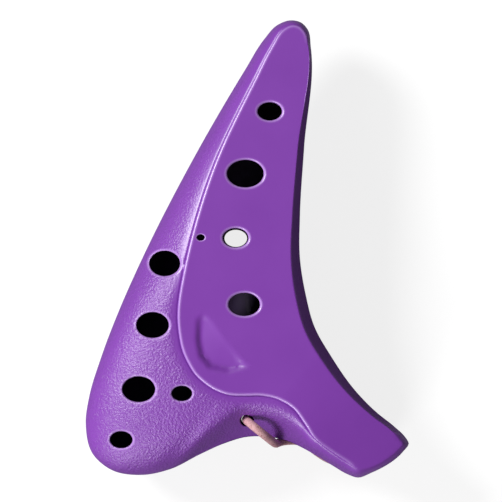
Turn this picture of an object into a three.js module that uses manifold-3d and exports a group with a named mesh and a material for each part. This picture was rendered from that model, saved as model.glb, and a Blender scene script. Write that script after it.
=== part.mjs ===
// A twelve-hole moulded plastic ocarina, lying on its back with its finger holes up.
// Millimetres, +Z up. The tail points along +Y and the mouthpiece leaves the body to the lower right.
// Two shells meet on a flat parting plane, a windway block sits inside the mouthpiece, and a neck cord
// runs through a tunnel in the corner between bulb and mouthpiece.
import * as THREE from 'three';
import { mergeVertices } from 'three/addons/utils/BufferGeometryUtils.js';
import Module from 'manifold-3d';

const wasm = await Module();
wasm.setup();

// ---- Driving dimensions -------------------------------------------------------------------------
const BODY_LENGTH = 122.3;      // tail tip to the bottom of the bulb, along Y
const BODY_WIDTH = 86.4;        // left of the bulb to the corner of the mouthpiece, along X
const PARTING_HEIGHT = 20;      // height of the plane where the two shells meet
const SHELL_WALL = 2.4;         // thickness of both shells
const PIECE_GAP = 0.3;          // clearance between two pieces that touch
const FACE_HEIGHT = 34.5;       // height of the raised face plate over the middle of the body
const TAIL_DROP = 5.5;          // how much lower the face is at the tip of the tail
const MOUTH_DROP = 5;           // how much lower the face is at the end of the mouthpiece
const PLATE_STEP = 0.5;         // how far the smooth plate stands above the grained flank
const PLATE_ROUND = 0.4;        // width of the rounded edge of the plate
const TAIL_RISE = 14;           // how far the back rises towards the tip of the tail
const NECK_RISE = 13.8;         // how far the back rises towards the mouthpiece
const NECK_SLOPE = [6, 19];     // distance from the body's axis, as drawn, where it starts and ends
const REST_DISH = 0.3;          // depth that the flat resting face takes off the rounded back
const REST_ROUND = 150;         // radius of the back around the resting face
const FINGER_DEPTH = 22;        // height that the finger holes are cut down to
const WINDWAY_WIDTH = 9;        // width of the air channel
const WINDWAY_HEIGHT = 1.4;     // height of the air channel
const WINDWAY_FLOOR = 16;       // height of the floor of the air channel
const LABIUM_WIDTH = 15;        // width of the block of solid plastic that carries the sounding edge
const WINDOW_LENGTH = 4.8;      // opening of the voicing window, from the windway to the labium
const WINDWAY_LENGTH = 25;      // mouthpiece end to the window
const BLOCK_WIDTH = 13.4;       // width of the windway block
const BLOCK_TOP = 22.5;         // height of the top of the windway block
const LABIUM_THICKNESS = 0.6;   // thickness of the sounding edge
const LABIUM_ANGLE = 25;        // slope of the ramp behind the sounding edge, in degrees
const TUNNEL_BORE = 4;          // bore of the cord tunnel
const BOSS_DIAMETER = 8.6;      // outside of the boss around the cord tunnel
const CORD_DIAMETER = 2.3;      // neck cord
const HANK_TURN_GAP = 4;        // distance between the two sides of the inner turn, in cord diameters
const HANK_COLUMNS = 2;         // turns lying side by side
const HANK_LAYERS = 4;          // turns lying on top of each other
const HANK_STRAIGHT = 27;       // straight length between the two end loops of the hank
const WAIST_LENGTH = 7;         // how far from the band the hank is still drawn in
const TIE_WIDTH = 3.2;          // width of the band around the hank
const TIE_THICKNESS = 1;        // thickness of that band
const KNOT_DIAMETER = 6;        // thickness of the knot that joins the cord's ends
const KNOT_LENGTH = 7;          // length of that knot along the cord
const RECESS_DEPTH = 0.6;       // depth of the plain drop-shaped recess in the plate
const SAMPLE_STEP = 4.5;        // spacing of the lofted sections around the outline

const OUTLINE_LENGTH = 122.3;   // length and width that the outline points below are drawn at
const OUTLINE_WIDTH = 86.4;

// Where things are, in the plan of the outline.
const TAIL_TIP = [12, 55];
const BULB_END = [-25, -45];
const FACE_BEND = -10;          // the face is level below this Y and falls to the tail above it
const BACK_BEND = -12;          // the back does the same
const TAIL_REACH = 61;          // Y where the fall to the tail is complete
const NECK = [12, -36];         // where the mouthpiece begins
const MOUTH_END = [36, -56.3];  // middle of the end of the mouthpiece
const REST_CENTRE = [-14, -20];
const TUNNEL_CENTRE = [-0.3, -45.5];
const SPINE = [[11.5, 52], [-2, 0], [2, -27], [33, -54]];   // the middle line that the sections run in to

// Finger holes in the face, x, y, width along X and height along Y.
const FINGER_HOLES = [
  [6.0, 36.7, 6.5, 4.9],
  [-0.5, 20.1, 9.8, 7.4],
  [-3.1, 3.0, 6.8, 5.2],
  [-0.8, -14.7, 8.4, 6.2],
  [-22.0, -3.8, 8.3, 6.8],
  [-25.2, -20.2, 8.7, 6.9],
  [-28.9, -37.3, 8.8, 6.9],
  [-33.6, -50.8, 6.1, 4.6],
];
const SUB_HOLES = [
  [-12.4, 3.1, 2.2, 1.7],
  [-17.4, -38.4, 5.5, 4.1],
];
const RECESS_OUTLINE = [
  [-13.4, -18.6], [-13.7, -24.4], [-12.8, -28.8], [-9.6, -31.4], [-4.6, -31.6],
  [-0.2, -30.4], [-2.6, -27.6], [-6.2, -23.4], [-9.6, -19.2], [-12.0, -17.0],
];
const THUMB_HOLES = [
  [-3.1, 2.9, 6.1, 4.6],
  [-26.6, -44.4, 8.2, 6.2],
];

// How the side of the body curves from the parting line up to the face. lean is how far in its shoulder
// stands, rise how steep it still is where it meets the face, and crisp how sharp the shoulder is.
// tuck is the share of the way from the outline to the spine over which the side curves under the back.
const SIDE = {
  tip: { lean: 0.25, rise: 0.15, crisp: 1.2, tuck: 0.5 },
  flank: { lean: 0.05, rise: 0.27, crisp: 0.8, tuck: 0.5 },
  bulb: { lean: 0.02, rise: 0.05, crisp: 0.8, tuck: 0.38 },
  brow: { lean: 0.35, rise: 0.04, crisp: 1.9, tuck: 0.34 },
  scoop: { lean: 0.6, rise: 0.05, crisp: 2.4, tuck: 0.3 },
  lip: { lean: 0.2, rise: 0.1, crisp: 0.9, tuck: 0.4 },
  mouth: { lean: 0.2, rise: 0.1, crisp: 1.5, tuck: 0.4 },
  wall: { lean: 0.8, rise: 0.02, crisp: 5, tuck: 0.35 },
};

// Stations round the outline, anticlockwise from the tip of the tail: the outline at the parting plane,
// the edge of the face plate opposite it, and the kind of side between them.
const STATIONS = [
  [[11.9, 61.2], [12.2, 59.8], SIDE.tip],
  [[8.0, 59.9], [9.2, 58.3], SIDE.tip],
  [[4.5, 56.1], [6.1, 53.5], SIDE.flank],
  [[-0.5, 48.1], [2.0, 45.4], SIDE.flank],
  [[-14.4, 24.2], [-8.8, 22.4], SIDE.flank],
  [[-29.3, -5.1], [-16.9, -5.6], SIDE.flank],
  [[-34.0, -15.7], [-18.4, -14.5], SIDE.bulb],
  [[-39.1, -29.0], [-18.2, -22.6], SIDE.bulb],
  [[-42.3, -39.6], [-16.9, -28.0], SIDE.bulb],
  [[-43.2, -46.5], [-15.2, -31.4], SIDE.bulb],
  [[-41.3, -54.8], [-13.4, -33.9], SIDE.bulb],
  [[-36.2, -59.1], [-11.4, -35.7], SIDE.bulb],
  [[-28.5, -60.4], [-9.2, -37.2], SIDE.bulb],
  [[-20.5, -58.8], [-6.8, -38.3], SIDE.bulb],
  [[-12.5, -54.8], [-3.9, -39.0], SIDE.brow],
  [[-6.0, -51.9], [-0.2, -39.1], SIDE.scoop],
  [[0.0, -50.2], [4.2, -39.1], SIDE.scoop],
  [[5.5, -50.2], [8.6, -40.2], SIDE.scoop],
  [[10.5, -51.2], [12.6, -42.8], SIDE.scoop],
  [[14.5, -53.0], [15.4, -46.7], SIDE.scoop],
  [[18.6, -55.3], [17.9, -50.3], SIDE.lip],
  [[23.0, -58.0], [22.6, -54.0], SIDE.lip],
  [[26.8, -60.2], [26.6, -56.6], SIDE.lip],
  [[29.6, -61.1], [29.2, -58.0], SIDE.mouth],
  [[33.0, -59.9], [31.8, -58.2], SIDE.mouth],
  [[41.8, -54.0], [40.2, -53.2], SIDE.mouth],
  [[43.2, -52.0], [41.2, -51.9], SIDE.mouth],
  [[42.2, -50.2], [40.2, -50.6], SIDE.mouth],
  [[39.4, -47.5], [38.2, -48.4], SIDE.wall],
  [[34.3, -43.4], [33.2, -44.6], SIDE.wall],
  [[28.7, -37.6], [27.1, -39.1], SIDE.wall],
  [[22.4, -28.6], [19.9, -30.2], SIDE.wall],
  [[18.0, -20.8], [15.1, -21.9], SIDE.wall],
  [[15.6, -12.0], [12.5, -12.4], SIDE.wall],
  [[14.1, -2.5], [11.4, -2.5], SIDE.wall],
  [[14.1, 9.0], [11.8, 9.0], SIDE.wall],
  [[15.2, 27.0], [13.3, 27.0], SIDE.wall],
  [[17.0, 54.0], [16.2, 54.0], SIDE.wall],
  [[16.2, 58.7], [15.4, 57.8], SIDE.tip],
  [[14.4, 60.6], [14.0, 59.3], SIDE.tip],
];

// ---- Plan and heights ---------------------------------------------------------------------------
const radians = THREE.MathUtils.degToRad;
const { clamp, lerp, smoothstep } = THREE.MathUtils;

function plan([x, y]) {
  return new THREE.Vector2(x * BODY_WIDTH / OUTLINE_WIDTH, y * BODY_LENGTH / OUTLINE_LENGTH);
}

// The place of a point in the outline as drawn.
function drawn(point) {
  return new THREE.Vector2(point.x * OUTLINE_WIDTH / BODY_WIDTH, point.y * OUTLINE_LENGTH / BODY_LENGTH);
}

const bulbEnd = plan(BULB_END);
const neck = plan(NECK);
const mouthEnd = plan(MOUTH_END);
const restCentre = plan(REST_CENTRE);
const tunnelCentre = plan(TUNNEL_CENTRE);
const drawnAxis = new THREE.Vector2(...TAIL_TIP).sub(new THREE.Vector2(...BULB_END)).normalize();
const mouthAxis = neck.clone().sub(mouthEnd).normalize();

// How far a point is from a bend in the body to the tip of the tail, 0 to 1.
function tailShare(point, bendAt) {
  const bend = plan([0, bendAt]).y;
  return clamp((point.y - bend) / (plan([0, TAIL_REACH]).y - bend), 0, 1);
}

// Height of the face plate: level over the body, falling to the tail and to the mouthpiece.
function faceHeight(point) {
  const tail = tailShare(point, FACE_BEND);
  const mouth = clamp(neck.clone().sub(point).dot(mouthAxis) / neck.distanceTo(mouthEnd), 0, 1.2);
  return FACE_HEIGHT - TAIL_DROP * tail ** 1.4 - MOUTH_DROP * mouth ** 1.5;
}

// Height of the back: an egg along the body's axis, cut flat where it rests.
function backHeight(point) {
  const tail = tailShare(point, BACK_BEND);
  const aside = drawn(point).sub(drawn(bulbEnd)).cross(drawnAxis);
  const neckRise = NECK_RISE * smoothstep(aside, ...NECK_SLOPE);
  const dish = Math.min(point.distanceToSquared(restCentre) / (2 * REST_ROUND), 3 * REST_DISH) - REST_DISH;
  return Math.max(0, Math.min(TAIL_RISE * tail ** 1.1 + neckRise, TAIL_RISE) + dish);
}

// How much longer a wall is along Z than across itself where the back slopes.
function steepness(point) {
  const along = (x, y) => backHeight(point.clone().add({ x, y })) - backHeight(point.clone().sub({ x, y }));
  return Math.hypot(1, along(0.5, 0), along(0, 0.5));
}

// ---- Sections round the outline -----------------------------------------------------------------
// Each section holds the outline point, the face edge opposite it and the numbers of the side.
function sections() {
  const rows = STATIONS.map(([outline, edge, side]) => {
    const at = plan(outline);
    const face = plan(edge);
    return [at.x, at.y, face.x, face.y, side.lean, side.rise, side.crisp, side.tuck];
  });
  const count = rows.length;
  const row = (i) => rows[(i + count) % count];
  const span = (i) => Math.hypot(row(i + 1)[0] - row(i)[0], row(i + 1)[1] - row(i)[1]);
  const slope = (i, k) => {
    const before = (row(i)[k] - row(i - 1)[k]) / span(i - 1);
    const after = (row(i + 1)[k] - row(i)[k]) / span(i);
    return (before * span(i) + after * span(i - 1)) / (span(i) + span(i - 1));
  };
  const made = [];
  for (let i = 0; i < count; i++) {
    const steps = Math.max(1, Math.round(span(i) / SAMPLE_STEP));
    for (let j = 0; j < steps; j++) {
      const t = j / steps;
      const value = (k) => row(i)[k] * (1 + 2 * t) * (1 - t) ** 2 + row(i + 1)[k] * t * t * (3 - 2 * t)
        + span(i) * (slope(i, k) * t * (1 - t) ** 2 - slope(i + 1, k) * t * t * (1 - t));
      made.push({
        outline: new THREE.Vector2(value(0), value(1)),
        edge: new THREE.Vector2(value(2), value(3)),
        lean: value(4), rise: value(5), crisp: value(6), tuck: value(7),
      });
    }
  }
  return made;
}

const SECTIONS = sections();

// A conic from (0, 0) to (1, 1) that bulges towards the corner (lean, top).
function conic(t, lean, top, weight) {
  const middle = 2 * t * (1 - t) * weight;
  const whole = (1 - t) ** 2 + middle + t * t;
  return [(middle * lean + t * t) / whole, (middle * top + t * t) / whole];
}

function nearestOnSpine(point) {
  let best = null;
  for (let i = 0; i + 1 < SPINE.length; i++) {
    const a = plan(SPINE[i]);
    const along = plan(SPINE[i + 1]).sub(a);
    const t = clamp(point.clone().sub(a).dot(along) / along.lengthSq(), 0, 1);
    const on = a.addScaledVector(along, t);
    if (!best || on.distanceTo(point) < best.distanceTo(point)) best = on;
  }
  return best;
}

// A point moved by a share of the way, or by a distance, towards the nearest place on the spine.
function drawnIn(point, share) {
  return point.clone().lerp(nearestOnSpine(point), share);
}

function steppedIn(point, distance) {
  return drawnIn(point, distance / nearestOnSpine(point).distanceTo(point));
}

function ring(place) {
  return SECTIONS.map((section) => place(section));
}

function raised(point, height) {
  return new THREE.Vector3(point.x, point.y, height);
}

// The rings of the whole body from the middle of the back, over the parting line, to the middle of the
// face. wall is how far inside the outer surface they lie, so the same rings make the chamber.
function bodyRings(wall) {
  const rim = (s) => steppedIn(s.outline, wall);
  const under = (s) => drawnIn(rim(s), s.tuck);
  const edge = (s) => steppedIn(s.edge, wall);
  const foot = (s) => faceHeight(edge(s)) - wall - PLATE_STEP;
  const back = (s, share) => {
    const at = drawnIn(under(s), share);
    return raised(at, backHeight(at) + wall * steepness(at));
  };
  const plate = (s, share) => {
    const at = drawnIn(steppedIn(edge(s), PLATE_ROUND), share);
    return raised(at, faceHeight(at) - wall);
  };
  const rings = [];
  for (const share of [0.97, 0.82, 0.62, 0.42, 0.24, 0.1]) {
    rings.push(ring((s) => back(s, share)));
  }
  for (const t of [1, 0.8, 0.6, 0.4, 0.2]) {
    rings.push(ring((s) => {
      const [along, up] = conic(t, 0, 1, 0.75);
      const low = backHeight(under(s)) + wall * steepness(under(s));
      return raised(rim(s).lerp(under(s), along), lerp(PARTING_HEIGHT, low, up));
    }));
  }
  for (const t of [0, 0.15, 0.3, 0.5, 0.7, 0.85, 1]) {
    rings.push(ring((s) => {
      const [along, up] = conic(t, s.lean, 1 - s.rise * (1 - s.lean), s.crisp);
      return raised(rim(s).lerp(edge(s), along), lerp(PARTING_HEIGHT, foot(s), up));
    }));
  }
  for (const share of [0, 0.4, 0.8]) {
    rings.push(ring((s) => plate(s, share)));
  }
  return rings;
}

// ---- Solids -------------------------------------------------------------------------------------
function closedFrom(positions, faces) {
  const geometry = new THREE.BufferGeometry();
  geometry.setAttribute('position', new THREE.Float32BufferAttribute(positions, 3));
  geometry.setIndex(faces);
  return geometry;
}

// Skins the rings and closes the first and the last one.
function loft(rings) {
  const count = rings[0].length;
  const faces = [];
  for (let k = 0; k + 1 < rings.length; k++) {
    for (let i = 0; i < count; i++) {
      const a = k * count + i;
      const b = k * count + (i + 1) % count;
      faces.push(a, b, b + count, a, b + count, a + count);
    }
  }
  const flat = (points) => points.map((p) => new THREE.Vector2(p.x, p.y));
  const top = (rings.length - 1) * count;
  for (const [a, b, c] of THREE.ShapeUtils.triangulateShape(flat(rings[0]), [])) faces.push(c, b, a);
  for (const [a, b, c] of THREE.ShapeUtils.triangulateShape(flat(rings.at(-1)), [])) {
    faces.push(top + a, top + b, top + c);
  }
  return closedFrom(rings.flat().flatMap((p) => p.toArray()), faces);
}

function solid(geometry) {
  const bare = geometry.clone();
  for (const name of Object.keys(bare.attributes)) {
    if (name !== 'position') bare.deleteAttribute(name);
  }
  const merged = mergeVertices(bare, 1e-4);
  return new wasm.Manifold(new wasm.Mesh({
    numProp: 3,
    vertProperties: new Float32Array(merged.attributes.position.array),
    triVerts: new Uint32Array(merged.index.array),
  }));
}

function geometryOf(body) {
  const { vertProperties, triVerts } = body.getMesh();
  const geometry = closedFrom(Array.from(vertProperties), Array.from(triVerts));
  geometry.computeVertexNormals();
  return geometry;
}

function block(low, high) {
  const size = high.map((value, axis) => value - low[axis]);
  return new THREE.BoxGeometry(...size).translate(...low.map((value, axis) => value + size[axis] / 2));
}

// A pillar of elliptical section that stands along Z.
function pillar(centre, width, height, low, high, sides = 24) {
  const shape = new THREE.CylinderGeometry(0.5, 0.5, high - low, sides).rotateX(Math.PI / 2);
  return solid(shape.scale(width, height, 1).translate(centre.x, centre.y, (low + high) / 2));
}

// Moves a shape drawn along +X from the mouthpiece's end to where the mouthpiece is.
function alongMouthpiece(geometry) {
  return geometry.rotateZ(Math.atan2(mouthAxis.y, mouthAxis.x)).translate(mouthEnd.x, mouthEnd.y, 0);
}

function mouthBlock(low, high) {
  return solid(alongMouthpiece(block(low, high)));
}

function half(body, above) {
  const far = 200;
  const edge = PARTING_HEIGHT + (above ? PIECE_GAP / 2 : -PIECE_GAP / 2);
  const kept = above ? [edge, far] : [-far, edge];
  return body.intersect(solid(block([-far, -far, kept[0]], [far, far, kept[1]])));
}

// ---- Chamber and windway ------------------------------------------------------------------------
const NECK_WALL = 30.5;                       // mouthpiece end to the start of the chamber
const POCKET_START = 3;                       // mouthpiece end to the pocket for the windway block
const labiumStart = WINDWAY_LENGTH + WINDOW_LENGTH;
const labiumTop = WINDWAY_FLOOR + WINDWAY_HEIGHT / 2 + LABIUM_THICKNESS;

function ramp() {
  const length = 10;
  const fall = length * Math.tan(radians(LABIUM_ANGLE));
  const edge = labiumTop - LABIUM_THICKNESS;
  const side = new THREE.Shape();
  side.moveTo(labiumStart - 0.5, edge);
  side.lineTo(labiumStart - 0.5, -1);
  side.lineTo(labiumStart + length, -1);
  side.lineTo(labiumStart + length, edge - fall);
  side.lineTo(labiumStart, edge);
  const prism = new THREE.ExtrudeGeometry(side, { depth: WINDWAY_WIDTH, bevelEnabled: false });
  prism.rotateX(Math.PI / 2).translate(0, WINDWAY_WIDTH / 2, 0);
  return solid(alongMouthpiece(prism));
}

// The air chamber: everything inside the walls except the neck, the labium and the cord boss.
function chamber(hollow) {
  const solidNeck = mouthBlock([-10, -60, -10], [NECK_WALL, 60, 60]);
  const halfLabium = LABIUM_WIDTH / 2;
  const labium = mouthBlock([NECK_WALL - 1, -halfLabium, -10], [NECK_WALL + 11, halfLabium, labiumTop]);
  const boss = pillar(tunnelCentre, BOSS_DIAMETER, BOSS_DIAMETER, -10, 60, 16);
  return hollow.subtract(solidNeck).subtract(labium).subtract(boss);
}

// The air's way from the lips to the chamber, and the pocket above it that holds the block.
function airways(hollow) {
  const halfWay = WINDWAY_WIDTH / 2;
  const halfPocket = BLOCK_WIDTH / 2 + PIECE_GAP;
  const roof = WINDWAY_FLOOR + WINDWAY_HEIGHT;
  const channel = mouthBlock([-8, -halfWay, WINDWAY_FLOOR], [WINDWAY_LENGTH + 0.5, halfWay, roof]);
  const pocket = hollow.intersect(mouthBlock(
    [POCKET_START, -halfPocket, roof - PIECE_GAP],
    [WINDWAY_LENGTH + 2.5, halfPocket, 60],
  ));
  const window = mouthBlock([WINDWAY_LENGTH, -halfWay, -10], [labiumStart, halfWay, roof]);
  const mouthOfChamber = mouthBlock(
    [WINDWAY_LENGTH, -halfWay, labiumTop],
    [NECK_WALL + 2, halfWay, BLOCK_TOP],
  );
  return channel.add(pocket).add(window).add(mouthOfChamber).add(ramp());
}

function tunnel() {
  return pillar(tunnelCentre, TUNNEL_BORE, TUNNEL_BORE, -10, 60, 16);
}

// A shallow drop-shaped recess in the plate, left plain.
function recess() {
  const outline = new THREE.Shape(RECESS_OUTLINE.map((point) => plan(point)));
  const cut = new THREE.ExtrudeGeometry(outline, { depth: RECESS_DEPTH + 1, bevelEnabled: false });
  return solid(cut.translate(0, 0, FACE_HEIGHT - RECESS_DEPTH));
}

// ---- Pieces -------------------------------------------------------------------------------------
const PURPLE = { color: 0x7a3aa4, roughness: 0.45, metalness: 0 };
const CORD = { color: 0xb98a76, roughness: 0.7, metalness: 0 };

function piece(name, geometry, look) {
  const mesh = new THREE.Mesh(geometry, new THREE.MeshStandardMaterial(look));
  mesh.name = name;
  return mesh;
}

const outside = solid(loft(bodyRings(0)));
const hollow = solid(loft(bodyRings(SHELL_WALL)));
const inside = chamber(hollow).add(airways(hollow)).add(tunnel());

function frontShell() {
  let shell = half(outside, true).subtract(inside).subtract(recess());
  for (const [x, y, width, height] of [...FINGER_HOLES, ...SUB_HOLES]) {
    shell = shell.subtract(pillar(plan([x, y]), width, height, FINGER_DEPTH, 60));
  }
  return geometryOf(shell);
}

function backShell() {
  let shell = half(outside, false).subtract(inside);
  for (const [x, y, width, height] of THUMB_HOLES) {
    shell = shell.subtract(pillar(plan([x, y]), width, height, -10, PARTING_HEIGHT - 5));
  }
  return geometryOf(shell);
}

function windwayBlock() {
  const halfBlock = BLOCK_WIDTH / 2;
  const bar = mouthBlock(
    [POCKET_START + PIECE_GAP, -halfBlock, WINDWAY_FLOOR + WINDWAY_HEIGHT],
    [WINDWAY_LENGTH, halfBlock, BLOCK_TOP],
  );
  return geometryOf(bar.intersect(solid(loft(bodyRings(SHELL_WALL + PIECE_GAP)))));
}

// ---- Neck cord ----------------------------------------------------------------------------------
// The cord comes up through the tunnel, bends over the edge of the neck, goes down to the hank that is
// put away under the mouthpiece, and comes back up into the tunnel from below.
const hankAxis = mouthAxis.clone().rotateAround(new THREE.Vector2(), radians(-6));
const hankStart = plan([30, -50.2]);                                   // middle of the loop at the lips
const innerTurn = HANK_TURN_GAP / 2 * CORD_DIAMETER;                   // radius of the inner end loops
const hankRadius = innerTurn + (HANK_COLUMNS - 0.5) * CORD_DIAMETER;   // outside of the outer end loops
const waistRadius = HANK_COLUMNS * CORD_DIAMETER;                      // half width where the band is
const hankFloor = TIE_THICKNESS + PIECE_GAP;
const hankHeight = HANK_LAYERS * CORD_DIAMETER;

const onPlan = ([x, y, z]) => [...plan([x, y]), z];
const FRONT_RUN = [
  [-0.3, -45.5, 24], [-0.3, -45.5, 26.2], [-0.2, -45.6, 28.4], [0.5, -46.2, 30.6], [2.0, -47.4, 31.8],
  [3.8, -48.9, 31.6], [5.4, -50.2, 30.0], [6.6, -51.2, 27.4], [7.3, -51.8, 24.2], [7.7, -52.0, 21.0],
  [8.1, -51.9, 17.6], [9.0, -51.6, 14.2], [10.6, -51.4, 11.0], [12.8, -51.4, 8.2], [15.4, -51.9, 5.9],
].map(onPlan);
const BACK_RUN = [
  [10.6, -45.4, 8.6], [8.6, -45.8, 8.5], [6.2, -46.4, 8.4], [3.9, -46.7, 8.7], [2.0, -46.5, 9.8],
  [0.6, -46.0, 11.6], [-0.1, -45.6, 13.8], [-0.3, -45.5, 16.2], [-0.3, -45.5, 19], [-0.3, -45.5, 23.7],
].map(onPlan);
const KNOT_PLACE = 2;           // the point of the back run that the knot sits on

function tube(points, diameter) {
  const route = new THREE.CatmullRomCurve3(points.map((point) => new THREE.Vector3(...point)));
  const steps = Math.round(route.getLength() / (2.2 * CORD_DIAMETER)) + 6;
  const section = new THREE.Shape().absarc(0, 0, diameter / 2, 0, 2 * Math.PI);
  const settings = { steps, extrudePath: route, bevelEnabled: false, curveSegments: 4 };
  return new THREE.ExtrudeGeometry(section, settings);
}

// The knot that joins the two ends of the cord, a barrel of turns round the back run.
function knot() {
  const from = new THREE.Vector3(...BACK_RUN[KNOT_PLACE - 1]);
  const to = new THREE.Vector3(...BACK_RUN[KNOT_PLACE + 1]);
  const barrel = new THREE.SphereGeometry(0.5, 20, 12).scale(KNOT_LENGTH, KNOT_DIAMETER, KNOT_DIAMETER);
  const along = to.sub(from).normalize();
  const turn = new THREE.Quaternion().setFromUnitVectors(new THREE.Vector3(1, 0, 0), along);
  const at = BACK_RUN[KNOT_PLACE];
  const opening = tube(BACK_RUN.slice(KNOT_PLACE - 2, KNOT_PLACE + 3), CORD_DIAMETER + 2 * PIECE_GAP);
  return geometryOf(solid(barrel.applyQuaternion(turn).translate(...at)).subtract(solid(opening)));
}

// Half the width of the hank at a distance along it from its middle. Its waist is straight at the band.
function hankHalfWidth(along) {
  const fromBand = Math.max(0, Math.abs(along) - TIE_WIDTH);
  const pinch = (hankRadius - waistRadius) * Math.exp(-((fromBand / WAIST_LENGTH) ** 2));
  const end = Math.max(0, Math.abs(along) - HANK_STRAIGHT / 2);
  return Math.sqrt(hankRadius ** 2 - end ** 2) - pinch;
}

function hankSolid() {
  const reach = HANK_STRAIGHT / 2 + hankRadius;
  const steps = 24;
  const upper = [];
  for (let i = 0; i <= steps; i++) {
    const along = -reach * Math.cos(Math.PI * i / steps);
    upper.push(new THREE.Vector2(along, Math.max(0, hankHalfWidth(along))));
  }
  const lower = upper.slice(1, -1).reverse().map((point) => new THREE.Vector2(point.x, -point.y));
  const outline = new THREE.Shape([...upper, ...lower]);
  return new THREE.ExtrudeGeometry(outline, { depth: hankHeight, bevelEnabled: false })
    .translate(0, 0, hankFloor);
}

// The band round the waist of the hank: a flat ring that the hank passes through.
function tieBand() {
  const half = waistRadius + PIECE_GAP;
  const low = hankFloor - PIECE_GAP;
  const high = hankFloor + hankHeight + PIECE_GAP;
  const whole = block(
    [-TIE_WIDTH / 2, -half - TIE_THICKNESS, low - TIE_THICKNESS],
    [TIE_WIDTH / 2, half + TIE_THICKNESS, high + TIE_THICKNESS],
  );
  const opening = block([-TIE_WIDTH, -half, low], [TIE_WIDTH, half, high]);
  return geometryOf(solid(whole).subtract(solid(opening)));
}

function onHank(geometry) {
  const middle = hankStart.clone().addScaledVector(hankAxis, HANK_STRAIGHT / 2);
  return geometry.rotateZ(Math.atan2(hankAxis.y, hankAxis.x)).translate(middle.x, middle.y, 0);
}

const ocarina = new THREE.Group();
ocarina.add(piece('front_shell', frontShell(), PURPLE));
ocarina.add(piece('back_shell', backShell(), PURPLE));
ocarina.add(piece('windway_block', windwayBlock(), PURPLE));
ocarina.add(piece('neck_cord_front', tube(FRONT_RUN, CORD_DIAMETER), CORD));
ocarina.add(piece('neck_cord_back', tube(BACK_RUN, CORD_DIAMETER), CORD));
ocarina.add(piece('neck_cord_hank', onHank(hankSolid()), CORD));
ocarina.add(piece('cord_knot', knot(), CORD));
ocarina.add(piece('cord_tie', onHank(tieBand()), CORD));

export default ocarina;
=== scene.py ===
import math

import bmesh
import bpy
import numpy as np
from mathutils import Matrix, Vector
from mathutils.bvhtree import BVHTree
from mathutils.geometry import delaunay_2d_cdt


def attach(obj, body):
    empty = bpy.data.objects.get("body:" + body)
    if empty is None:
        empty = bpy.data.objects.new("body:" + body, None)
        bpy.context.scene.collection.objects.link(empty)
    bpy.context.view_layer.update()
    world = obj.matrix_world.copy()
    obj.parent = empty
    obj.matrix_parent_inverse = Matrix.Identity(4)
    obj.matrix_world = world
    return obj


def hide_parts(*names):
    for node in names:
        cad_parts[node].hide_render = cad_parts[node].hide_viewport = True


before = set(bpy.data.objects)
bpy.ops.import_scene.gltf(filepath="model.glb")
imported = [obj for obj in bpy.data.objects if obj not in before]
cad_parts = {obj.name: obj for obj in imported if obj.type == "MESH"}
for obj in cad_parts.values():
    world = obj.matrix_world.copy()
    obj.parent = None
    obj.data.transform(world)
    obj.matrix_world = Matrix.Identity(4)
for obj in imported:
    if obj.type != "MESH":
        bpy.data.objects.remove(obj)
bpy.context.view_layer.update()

# ---- Camera -------------------------------------------------------------------------------------
# The ocarina lies on its back and is looked at from straight above with a long lens.
# The view is a little over 13 cm across at the height of its face.
VIEW_HEIGHT = 2.6
VIEW_ACROSS = 0.1335
VIEW_CENTRE = (0.0010, -0.0005)
FACE_LEVEL = 0.0345

camera = bpy.data.objects.new("camera", bpy.data.cameras.new("camera"))
bpy.context.collection.objects.link(camera)
camera.location = (*VIEW_CENTRE, VIEW_HEIGHT)
camera.data.angle = 2 * math.atan(VIEW_ACROSS / 2 / (VIEW_HEIGHT - FACE_LEVEL))
camera.data.clip_start = 0.01
bpy.context.scene.camera = camera

# ---- Neck cord ----------------------------------------------------------------------------------
# A round leather cord, 2.3 mm thick and about 80 cm long, worn round the neck. It comes up through the
# tunnel in the corner of the body, bends over the neck's edge, and the rest is folded under the mouthpiece.
MM = 0.001
CORD = 2.3                                 # diameter of the cord
FRONT_RUN = [                              # from inside the tunnel, over the edge, down to the hank
    (-0.3, -45.5, 24), (-0.3, -45.5, 26.2), (-0.2, -45.6, 28.4), (0.5, -46.2, 30.6), (2.0, -47.4, 31.8),
    (3.8, -48.9, 31.6), (5.4, -50.2, 30.0), (6.6, -51.2, 27.4), (7.3, -51.8, 24.2), (7.7, -52.0, 21.0),
    (8.1, -51.9, 17.6), (9.0, -51.6, 14.2), (10.6, -51.4, 11.0), (12.8, -51.4, 8.2), (15.4, -51.9, 5.9),
]
BACK_RUN = [                               # from the hank back up into the tunnel
    (10.6, -45.4, 8.6), (8.6, -45.8, 8.5), (6.2, -46.4, 8.4), (3.9, -46.7, 8.7), (2.0, -46.5, 9.8),
    (0.6, -46.0, 11.6), (-0.1, -45.6, 13.8), (-0.3, -45.5, 16.2), (-0.3, -45.5, 19), (-0.3, -45.5, 23.7),
]
KNOT_PLACE = 2
HANK_START = np.array((30.0, -50.2))       # middle of the hank's loop under the lips
NECK = np.array((12.0, -36.0))             # where the mouthpiece begins
MOUTH_END = np.array((36.0, -56.3))        # middle of the mouthpiece's end
HANK_STRAIGHT = 27.0
HANK_COLUMNS = (6.9, 4.6)                  # radius of the outer and the inner turns
HANK_STOPS = [                             # column and layer of each turn
    (0, 0), (1, 0), (1, 1), (0, 1), (0, 2), (1, 2), (1, 3), (0, 3)]
HANK_STEPS = 56                            # points on each turn
WAIST_LENGTH = 7.0
WAIST_PINCH = 3.45                         # how far the band draws the turns together
TIE_LIFT, TIE_LIFT_LENGTH = 1.3, 5.0       # how far the band lifts the turns, and over what length

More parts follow.
